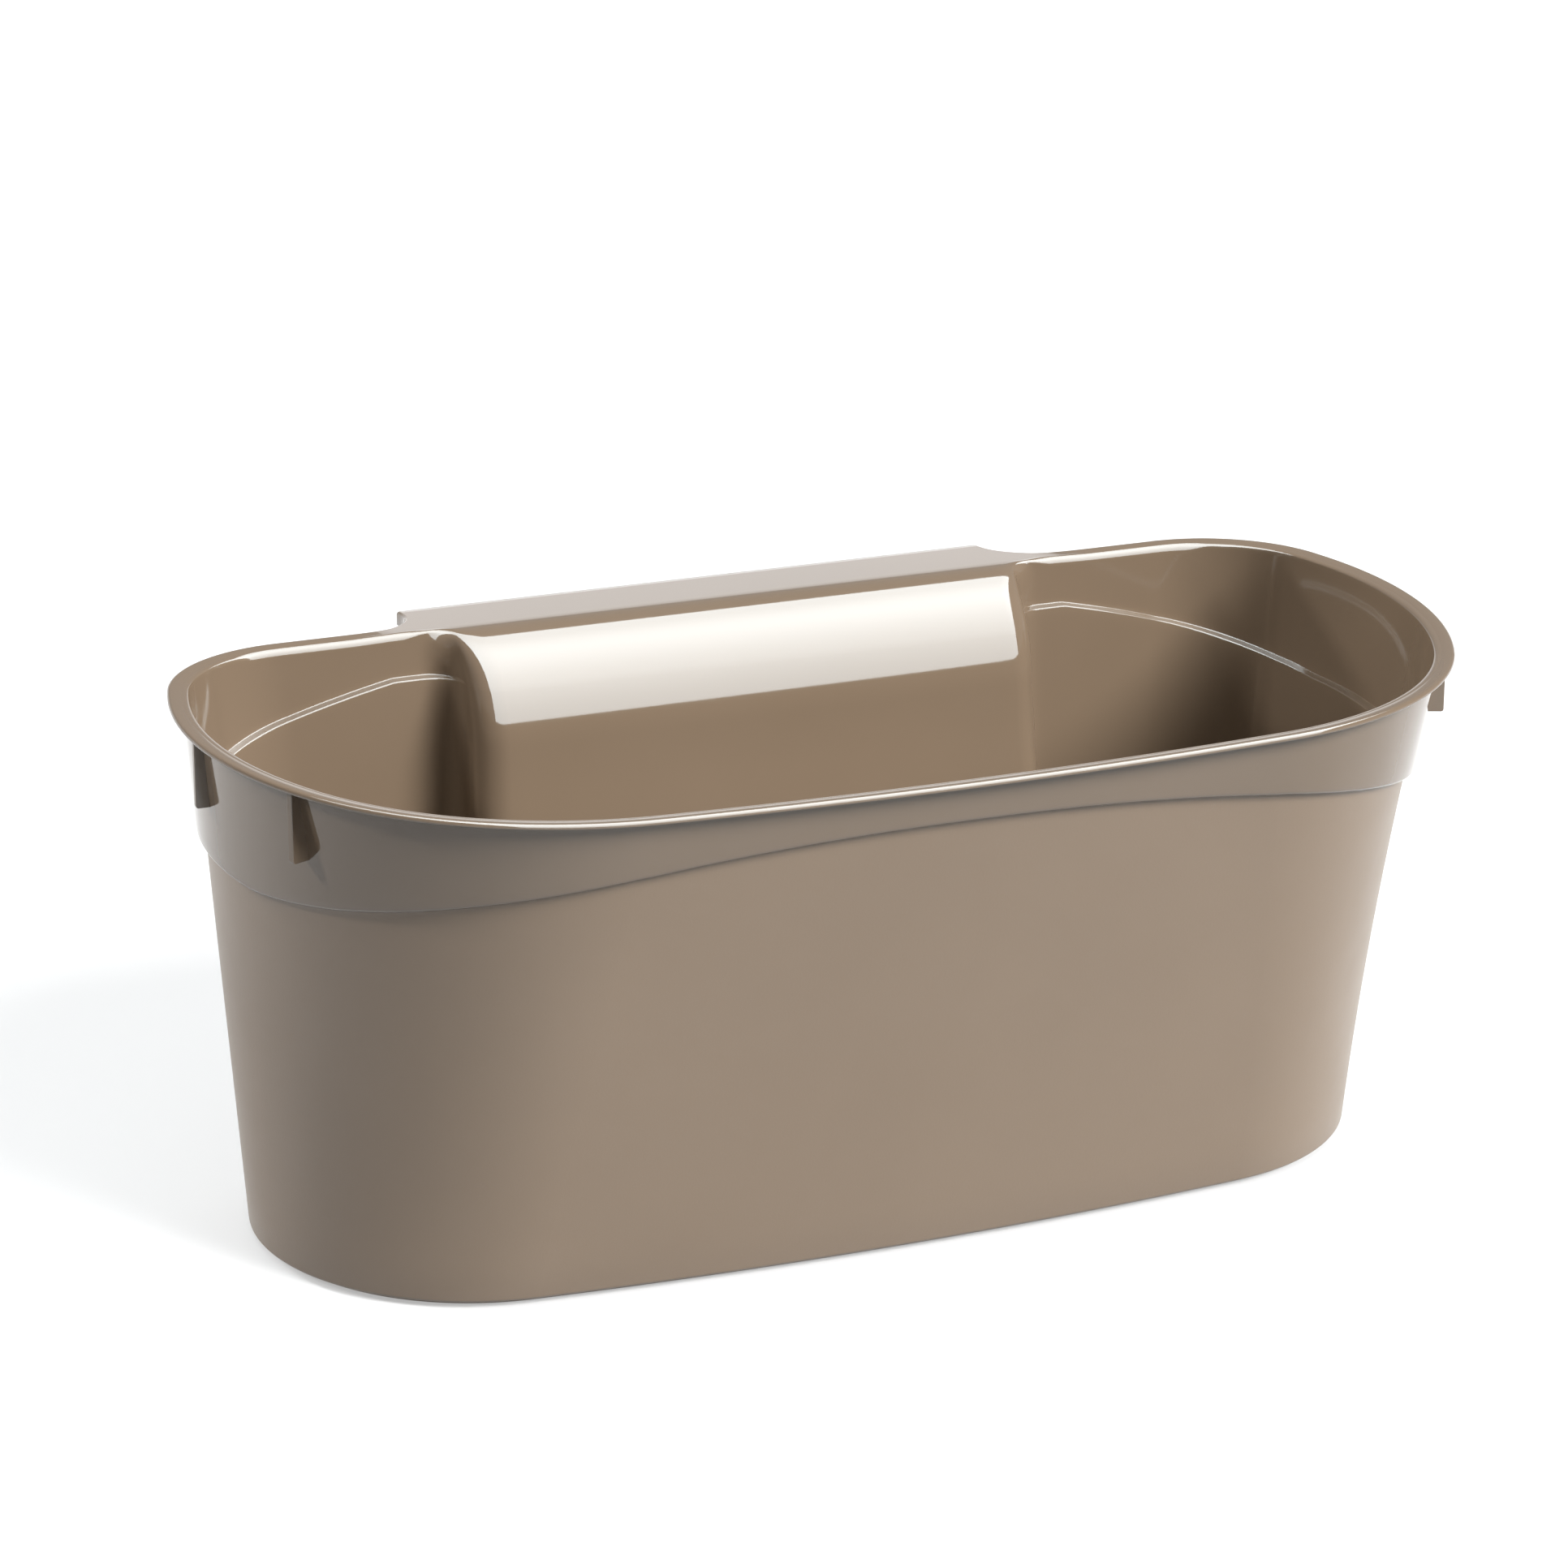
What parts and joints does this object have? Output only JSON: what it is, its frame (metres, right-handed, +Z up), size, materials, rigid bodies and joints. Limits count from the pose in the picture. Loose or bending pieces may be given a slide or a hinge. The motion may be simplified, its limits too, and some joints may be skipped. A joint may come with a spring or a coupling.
{
  "type": "cleaning caddy",
  "caption": "Open oblong plastic tub with a stepped glossy band, thin rim, stacking ribs, and a back hand-grip recess under an arched handle flange.",
  "frame": {"origin": "centre of the bounding box in plan, on the table under the tub", "axes": "+X along the tub's long axis, +Y towards the handle flange at the back, +Z up"},
  "size_m": [0.3998, 0.2361, 0.17],
  "materials": {
    "satin_plastic": "satin",
    "gloss_plastic": "gloss"
  },
  "bodies": {
    "root": {"floor_pan": "satin_plastic", "body_wall": "satin_plastic", "upper_band": "gloss_plastic", "rim_lip": "gloss_plastic", "grip_recess": "gloss_plastic", "grip_handle": "gloss_plastic", "stacking_rib_right_rear": "gloss_plastic", "stacking_rib_left_rear": "gloss_plastic", "stacking_rib_right_front": "gloss_plastic", "stacking_rib_left_front": "gloss_plastic"}
  },
  "joints": []
}
